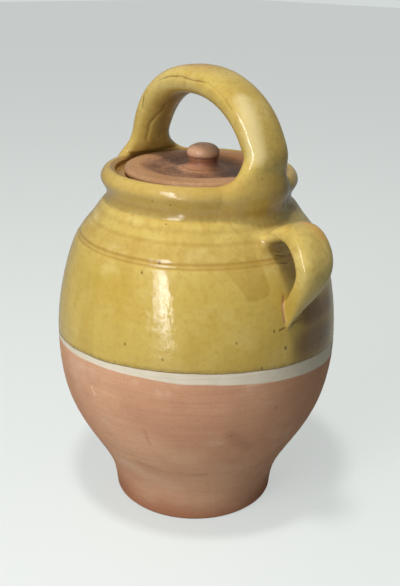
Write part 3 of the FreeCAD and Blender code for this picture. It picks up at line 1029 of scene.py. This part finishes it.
# each group: strength, colour and strokes
glaze_marks = {
    # painted highlight: a paler streak down the front of the bail's near leg, where the light falls
    "pale": (0.5, (228, 212, 160), [
        ((39.5, -7.4, 244.5), (47.4, -9.8, 235.6), 7.0), ((47.4, -9.8, 235.6), (55.0, -11.3, 219.0), 8.0)]),
    # painted shade and a painted brown reflection on the belly's dark side past the grip, and a thin painted
    # shadow line below the grip's tip
    "toasted": (0.85, (112, 72, 22), [
        (at_wall(4, 119), at_wall(19, 119), 17.0), (at_wall(6.5, 134), at_wall(24, 134), 13.0),
        (at_wall(-10, 131.5), at_wall(2.5, 134), 1.0)]),
    "orange": (0.45, (200, 140, 66), [
        ((78.0, 3.4, 187.0), (87.0, 3.6, 182.0), 6.5), ((-22.0, -2.0, 256.0), (6.0, -2.0, 258.0), 9.0)]),
    # painted shade: darker brown behind the near foot, on the shoulder under the grip's root, and under the
    # bail's arch
    "painted_strap_shade": (0.45, (112, 80, 38), [
        ((55.0, 10.0, 199.0), (46.0, 28.0, 187.0), 8.0), (at_wall(-5, 171), at_wall(0, 160), 10.0),
        ((0.0, -3.0, 243.5), (-25.0, -1.0, 234.5), 8.0), ((-25.0, -1.0, 234.5), (-35.0, 2.0, 217.0), 7.0)]),
    # bare clay along the grip's pinched tip, its colour darkened as painted shade where the tip shades it
    "bare": (0.8, (150, 104, 78), [
        (at_wall(-7, 148), at_wall(-8, 141.5), 1.5), (at_wall(-8, 141.5), at_wall(-7.5, 135), 1.2)]),
    "crack": (0.85, (84, 60, 26), [
        (at_wall(-11.5, 171.5), at_wall(-7.5, 171), 0.55), (at_wall(-7.5, 171), at_wall(-3, 169), 0.5),
        (at_wall(-6, 168), at_wall(-0.5, 166.5), 0.5), (at_wall(-4.5, 164), at_wall(-1, 163.5), 0.45),
        ((56.5, 9.1, 201.0), (53.0, 17.0, 194.0), 0.8), ((51.5, 20.0, 196.0), (47.0, 27.0, 186.0), 0.9),
        # the strokes along the crack line are the crack itself; those along the fold line are painted shade
        # in the fold's crease
        *strokes_through(crack_line, 0.75), *strokes_through(fold_line[1:5], 1.0)]),
    "pit": (0.8, (84, 60, 28), [
        pit((57.2, -9.6, 207.6), 0.6), pit((50.7, -15.7, 187.7), 0.9),
        *(pit(at_wall(degrees, height), reach) for degrees, height, reach in (
            (-70, 124.5, 0.9), (-28, 128.5, 0.8), (-7.5, 121.5, 1.3), (-59.5, 166.5, 1.2), (-55, 119.5, 0.9),
            (-66.5, 161.5, 0.9), (-18, 113, 1.0), (-12.5, 132, 0.9), (-58.5, 193.5, 0.8), (-69, 194.5, 0.7),
            (-60.5, 183.5, 0.7)))]),
}
clay_marks = {
    "lime": (0.14, (214, 190, 166), [
        (at_wall(-89, 36), at_wall(-71, 34), 10.0), (at_wall(-71, 34), at_wall(-53.5, 27), 9.0)]),
    "scratch": (0.45, (226, 206, 184), [(at_wall(-87, 92.5), at_wall(-85.5, 88), 0.9)]),
    "stain": (0.22, (132, 84, 58), [
        (at_wall(-63, 74.5), at_wall(-61.5, 64), 1.6), (at_wall(-28.5, 74), at_wall(-19.5, 61.5), 6.0),
        (at_wall(-71.5, 44), at_wall(-37.5, 40), 4.0)]),
    "soot": (0.7, (88, 62, 46), [pit(at_wall(-28, 73), 0.9), pit(at_wall(-10, 87), 0.9)]),
}


def with_marks(tree, place, colour, marks):
    for strength, shade, strokes in marks.values():
        colour = blend(tree, product(tree, near_any(tree, place, strokes), strength), colour, linear(*shade))
    return colour


for name, marks in (("glaze", glaze_marks), ("clay", clay_marks)):
    print(name, "marks:", {group: len(strokes) for group, (_, _, strokes) in marks.items()})

# %% [markdown]
# ## The bare clay
# Below the dips the clay is bare. Wheel and rib drew the coarse grains into level lines, so the noise is
# squeezed in height. A pale bloom of lime lies over it in clouds, and the clay is darker and redder towards
# the foot.

# %% Clay
clay_tones = palette(
    fired=(188, 138, 106), pale=(203, 156, 122), turned=(170, 120, 92), line=(164, 114, 86),
    grain=(158, 108, 80), bloom=(208, 174, 148), foot=(158, 98, 66), pit=(112, 74, 54))


def clay_colour(tree, place, axes):
    broad = noise(tree, place, 18, 4, roughness=0.6)
    colour = blend(tree, ramped(tree, broad, 0.36, 0.66), clay_tones["fired"], clay_tones["pale"])
    turning = noise(tree, place, 9, 4, (1, 1, 14), 0.6)
    colour = blend(tree, ramped(tree, turning, 0.45, 0.75, 0, 0.3), colour, clay_tones["turned"])
    lines = noise(tree, place, 6, 3, (1, 1, 120), 0.7)
    colour = blend(tree, ramped(tree, lines, 0.5, 0.8, 0, 0.3), colour, clay_tones["line"])
    grain = noise(tree, place, 700, 3, roughness=0.7)
    colour = blend(tree, ramped(tree, grain, 0.5, 0.75, 0, 0.4), colour, clay_tones["grain"])
    bloom = noise(tree, place, 30, 5, (1, 1, 1.4), 0.65)
    colour = blend(tree, ramped(tree, bloom, 0.52, 0.76, 0, 0.5), colour, clay_tones["bloom"])
    ragged = calc(tree, "ADD", axes["Z"], product(tree, bloom, 18 * mm))
    colour = blend(tree, ramped(tree, ragged, 12 * mm, 30 * mm, 0.75, 0.0), colour, clay_tones["foot"])
    pits = dots(tree, place, 120, 0.0005, 0.22, (0.4, 0.1, 0.0))
    return blend(tree, product(tree, pits, 0.55), colour, clay_tones["pit"])


print("clay:", len(clay_tones), "tones")

# %% [markdown]
# ## Clay, slip and glaze together
# The three colours are laid over each other by the dip masks. The inside is glazed all over, which the
# body's own attribute tells. Gloss and relief follow the same masks: the glaze is smooth glass with the
# peel of its surface and small craters at its specks, and the clay is dull, scored and gritty.

# %% Put them together
slip_tones = palette(thin=(202, 192, 170), full=(220, 212, 193))
clay_roughness, glaze_roughness = 0.86, 0.10


def gallery_mask(tree, place, axes):
    """1 on the ledge inside the rim, where the glaze is rubbed brown by the lid."""
    inwards = ramped(tree, from_axis(tree, place), 49.0 * mm, 51.5 * mm, 0.8, 0.0)
    return product(tree, inwards, ramped(tree, axes["Z"], 202.4 * mm, 203.2 * mm, 1.0, 0.0))


def ware_relief(tree, place, level, glazed, specks):
    """Height of the fine relief, in mm."""
    peel = product(tree, noise(tree, place, 330, 2), 0.12)
    ripple = product(tree, noise(tree, place, 95, 2), 0.36)
    boiled = product(tree, noise(tree, place, 900, 2), ramped(tree, level, 8 * mm, 36 * mm, 0.10, 0.015))
    glaze_relief = total(tree, peel, ripple, boiled, product(tree, specks, -0.14))
    grit = product(tree, noise(tree, place, 1100, 3), 0.10)
    scored = product(tree, noise(tree, place, 12, 4, (1, 1, 60), 0.65), 0.22)
    relief = {0: glazed, 2: calc(tree, "ADD", grit, scored), 3: glaze_relief}
    relief = put(tree, "ShaderNodeMix", relief, data_type="FLOAT").outputs[0]
    return calc(tree, "ADD", relief, ramped(tree, level, -0.3 * mm, 0.5 * mm, 0.0, 0.22))


def finish_dipped_ware(tree):
    place = put(tree, "ShaderNodeTexCoord").outputs["Object"]
    axes = put(tree, "ShaderNodeSeparateXYZ", {0: place}).outputs
    level = dip_level(tree, place, noise(tree, place, 55, 3), *dips["glaze"])
    slip_level = dip_level(tree, place, noise(tree, place, 40, 3), *dips["slip"])
    outside = put(tree, "ShaderNodeAttribute", attribute_name="marked").outputs["Fac"]
    above_foot = calc(tree, "GREATER_THAN", axes["Z"], 5 * mm)
    inside = product(tree, calc(tree, "LESS_THAN", outside, 0.005), above_foot)
    glazed = calc(tree, "MAXIMUM", ramped(tree, level, -0.25 * mm, 0.25 * mm), inside)
    slipped = ramped(tree, slip_level, -0.5 * mm, 0.5 * mm)

    glaze = glaze_colour(tree, place, axes, level)
    specks = iron_specks(tree, place, level)
    glaze = blend(tree, product(tree, specks, 0.75), glaze, glaze_tones["iron"])
    tongue_run = ramped(tree, near_any(tree, place, tongue), 0.35, 0.6)
    glaze = blend(tree, product(tree, tongue_run, 0.4), glaze, glaze_tones["tongue"])
    glaze = with_marks(tree, place, glaze, glaze_marks)
    glaze = blend(tree, gallery_mask(tree, place, axes), glaze, glaze_tones["gallery"])
    slip = blend(tree, noise(tree, place, 130, 3), slip_tones["thin"], slip_tones["full"])
    clay = with_marks(tree, place, clay_colour(tree, place, axes), clay_marks)
    colour = blend(tree, product(tree, slipped, 0.93), clay, slip)
    colour = blend(tree, glazed, colour, glaze)

    relief = ware_relief(tree, place, level, glazed, specks)
    bump = put(tree, "ShaderNodeBump", {"Strength": 1.0, "Distance": mm, "Height": relief})
    shine = calc(tree, "ADD", product(tree, noise(tree, place, 70, 2), 0.12), glaze_roughness)
    shine = calc(tree, "ADD", shine, product(tree, near_any(tree, place, under_arch), 0.4))
    rough = {0: glazed, 2: clay_roughness, 3: shine}
    rough = put(tree, "ShaderNodeMix", rough, data_type="FLOAT").outputs[0]
    surface = put(tree, "ShaderNodeBsdfPrincipled", {
        "Base Color": colour, "Roughness": rough, "IOR": 1.52, "Normal": bump.outputs[0]})
    put(tree, "ShaderNodeOutputMaterial", {0: surface.outputs[0]})


finish_dipped_ware(emptied(pot_finish))
print("dipped earthenware:", len(pot_finish.node_tree.nodes), "nodes")

# %% [markdown]
# ## The lid's brown wash, with painted shade
# The lid has no glaze of its own, only a thin iron wash that took the fire unevenly, paler and pinker on
# the button, with the turning lines showing through. The dish and the neck under the button are painted
# darker, as painted shade. Its masks are rings round the lid's own axis, because a brush held to a turning
# lid paints rings.

# %% Lid finish
wash_tones = palette(
    brown=(142, 99, 72), tan=(168, 126, 95), ring=(112, 76, 54), smoke=(92, 66, 52), border=(174, 134, 92),
    light_grain=(204, 168, 138), dark_grain=(112, 78, 56), button=(208, 166, 134), throat=(136, 84, 62),
    seam=(84, 54, 40), toasted=(138, 92, 44), chip=(66, 44, 28), speck=(80, 52, 36))
button_foot, button_height, throat_height, seam_height = 12 * mm, 208.5 * mm, 205.6, 208.4


def finish_washed_clay(tree):
    place = put(tree, "ShaderNodeTexCoord").outputs["Object"]
    centred = vector_calc(tree, "SUBTRACT", place, (lid_axis[0] * mm, lid_axis[1] * mm, 0.0))
    axes = put(tree, "ShaderNodeSeparateXYZ", {0: centred}).outputs
    radius = from_axis(tree, centred)
    broad = noise(tree, place, 30, 3)
    colour = blend(tree, ramped(tree, broad, 0.36, 0.66), wash_tones["brown"], wash_tones["tan"])
    drift = calc(tree, "ADD", radius, product(tree, broad, 4 * mm))
    rings = noise(tree, put(tree, "ShaderNodeCombineXYZ", {0: drift}).outputs[0], 420, 3)
    colour = blend(tree, ramped(tree, rings, 0.40, 0.66, 0, 0.6), colour, wash_tones["ring"])
    dish = ramped(tree, radius, 12 * mm, 17 * mm)
    dish = product(tree, dish, ramped(tree, radius, 27 * mm, 33 * mm, 1, 0))
    # painted shade: the dish is darkened in patches, where the border and the bail shade it
    smoke = ramped(tree, noise(tree, place, 55, 4, roughness=0.65), 0.35, 0.6, 0.45, 1.0)
    colour = blend(tree, product(tree, dish, smoke, 0.85), colour, wash_tones["smoke"])
    border = ramped(tree, radius, 34 * mm, 37 * mm)
    colour = blend(tree, product(tree, border, 0.55), colour, wash_tones["border"])
    grain = noise(tree, place, 620, 4, roughness=0.75)
    colour = blend(tree, ramped(tree, grain, 0.50, 0.68, 0, 0.35), colour, wash_tones["light_grain"])
    colour = blend(tree, ramped(tree, grain, 0.48, 0.32, 0, 0.3), colour, wash_tones["dark_grain"])
    button = ramped(tree, axes["Z"], button_height, button_height + 2 * mm)
    colour = blend(tree, product(tree, button, 0.55), colour, wash_tones["button"])
    # painted shade on the neck under the button's cap
    throat = near_height(tree, axes["Z"], throat_height, 3.4)
    throat = product(tree, throat, ramped(tree, radius, button_foot, button_foot + 3 * mm, 0.8, 0.0))
    colour = blend(tree, throat, colour, wash_tones["throat"])
    seam = near_height(tree, axes["Z"], seam_height, 0.5)
    seam = product(tree, seam, ramped(tree, radius, button_foot, button_foot + 1 * mm, 0.8, 0.0))
    colour = blend(tree, seam, colour, wash_tones["seam"])
    far_side = vector_calc(tree, "DISTANCE", place, (6 * mm, 38 * mm, 202 * mm))
    far_side = ramped(tree, far_side, 13.2 * mm, 30.8 * mm, 1.0, 0.0)
    colour = blend(tree, product(tree, far_side, 0.5), colour, wash_tones["toasted"])
    # a short dark stroke at the foot of the dish's far wall
    chip = near_stroke(tree, place, (14.0, 32.0, 203.0), (20.0, 30.0, 203.0), 1.8)
    colour = blend(tree, product(tree, chip, 0.85), colour, wash_tones["chip"])
    specks = dots(tree, place, 180, 0.0005, 0.3, (0.2, 0.0, 0.1))
    colour = blend(tree, product(tree, specks, 0.5), colour, wash_tones["speck"])
    relief = calc(tree, "ADD", product(tree, rings, 0.16), product(tree, noise(tree, place, 700, 3), 0.12))
    bump = put(tree, "ShaderNodeBump", {"Strength": 1.0, "Distance": mm, "Height": relief})
    rough = calc(tree, "SUBTRACT", ramped(tree, broad, 0.3, 0.7, 0.42, 0.58), product(tree, button, 0.12))
    surface = put(tree, "ShaderNodeBsdfPrincipled", {
        "Base Color": colour, "Roughness": rough, "IOR": 1.45, "Normal": bump.outputs[0]})
    put(tree, "ShaderNodeOutputMaterial", {0: surface.outputs[0]})


finish_washed_clay(emptied(lid_finish))
print("washed clay:", len(lid_finish.node_tree.nodes), "nodes")

# %% [markdown]
# ## Floor and room
# The pot stands on one plain pale floor in a pale room. Both show their own colour to the camera through
# the light path, so that they look pale without more light falling on the pot. Gloss sees a weaker floor,
# as it would see a dim room, and the floor still takes the pot's shadow.

# %% Floor and room
floor_material = bpy.data.materials.new("pale floor")
tree = emptied(floor_material)
rays = put(tree, "ShaderNodeLightPath").outputs
seen = calc(tree, "ADD", rays["Is Camera Ray"], product(tree, rays["Is Glossy Ray"], 0.25))
base = put(tree, "ShaderNodeBsdfPrincipled", {"Base Color": linear(152, 155, 153), "Roughness": 0.8})
glow = put(tree, "ShaderNodeEmission", {0: linear(203, 207, 205), 1: product(tree, seen, 0.80)})
both = put(tree, "ShaderNodeAddShader", {0: base.outputs[0], 1: glow.outputs[0]})
put(tree, "ShaderNodeOutputMaterial", {0: both.outputs[0]})
floor_reach = 6
floor_mesh = bpy.data.meshes.new("floor")
floor_corners = [(x * floor_reach, y * floor_reach, 0) for x, y in ((-1, -1), (1, -1), (1, 1), (-1, 1))]
floor_mesh.from_pydata(floor_corners, [], [(0, 1, 2, 3)])
floor_mesh.materials.append(floor_material)
floor = bpy.data.objects.new("floor", floor_mesh)
bpy.context.scene.collection.objects.link(floor)

world = bpy.data.worlds.new("room")
bpy.context.scene.world = world
tree = emptied(world)
rays = put(tree, "ShaderNodeLightPath").outputs
seen = calc(tree, "MAXIMUM", rays["Is Camera Ray"], rays["Is Transmission Ray"])
room_light, room_looks = 0.37, 1.06
room = put(tree, "ShaderNodeBackground", {
    0: linear(205, 211, 210), 1: ramped(tree, seen, 0, 1, room_light, room_looks)})
put(tree, "ShaderNodeOutputWorld", {0: room.outputs[0]})
print("floor", 2 * floor_reach, "m wide, room light", room_light)

# %% [markdown]
# ## Lights
# A tall narrow window stands close on the left and draws the long highlight down the belly, with a wider,
# weaker veil beside it. A large soft glow and a lamp overhead give the shape its shading without showing
# in the glaze. A last lamp lights only the pot's back, so that it is not lost in shade from there.

# %% Lamps
def lamp(name, place, size, power, colour, upright=(0, 0, 1), target=(0, 0, 0.12), glossy=True):
    """A rectangular lamp at a place, turned to its target, that the camera can't see."""
    data = bpy.data.lights.new(name, "AREA")
    data.shape = "RECTANGLE"
    data.size, data.size_y = size
    data.energy, data.color = power, colour
    made = bpy.data.objects.new(name, data)
    bpy.context.scene.collection.objects.link(made)
    back = (Vector(place) - Vector(target)).normalized()
    up = Vector(upright)
    up = (up - back * up.dot(back)).normalized()
    made.matrix_world = Matrix.Translation(place) @ Matrix((up.cross(back), up, back)).transposed().to_4x4()
    made.visible_camera = False
    made.visible_glossy = glossy
    return made


window_top, window_foot = Vector((0.134, -0.605, 0.61)), Vector((0.291, -0.547, 0.02))
window_middle, lean = (window_top + window_foot) / 2, window_top - window_foot
belly = (0, 0, 0.14)
lamp("window", window_middle, (0.026, lean.length), 1.15, (1.0, 0.99, 0.98), lean, belly)
lamp("window_veil", window_middle + Vector((-0.062, -0.035, 0.05)), (0.13, 0.8 * lean.length), 1.25,
     (0.97, 0.98, 1.0), lean, belly)
lamp("window_glow", (-0.05, -1.55, 0.95), (1.0, 1.3), 7.6, (0.98, 0.99, 1.0), glossy=False)
lamp("ceiling_lamp", (0.13, -0.27, 1.22), (0.14, 0.14), 8.2, (1.0, 0.98, 0.95), glossy=False)
behind = lamp("room_behind", (-1.15, 1.0, 0.75), (1.0, 1.0), 10.0, (1.0, 0.99, 0.97), glossy=False)
lit_from_behind = bpy.data.collections.new("lit from behind")
for piece in (pot_body, bail, grip, lid):
    lit_from_behind.objects.link(piece)
behind.light_linking.receiver_collection = lit_from_behind

# %% [markdown]
# ## Attach and finish
# Every piece rides on the one body, and the plain node that it replaces is hidden. The body, the bail and
# the grip are one fired piece, so all three replace the pitcher. Each piece is left with a single material
# slot, which holds its own finish.

# %% Attach the pieces and hide the plain nodes
for piece, node, slot, finish in (
        (pot_body, "pitcher", "glazed_clay", pot_finish), (bail, "pitcher", "glazed_clay", pot_finish),
        (grip, "pitcher", "glazed_clay", pot_finish), (lid, "lid", "lid_clay", lid_finish)):
    piece.data.materials.clear()
    piece.data.materials.append(finish)
    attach(piece, "root")
    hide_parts(node)

# %% Finish
bpy.context.scene.view_settings.view_transform = "Standard"
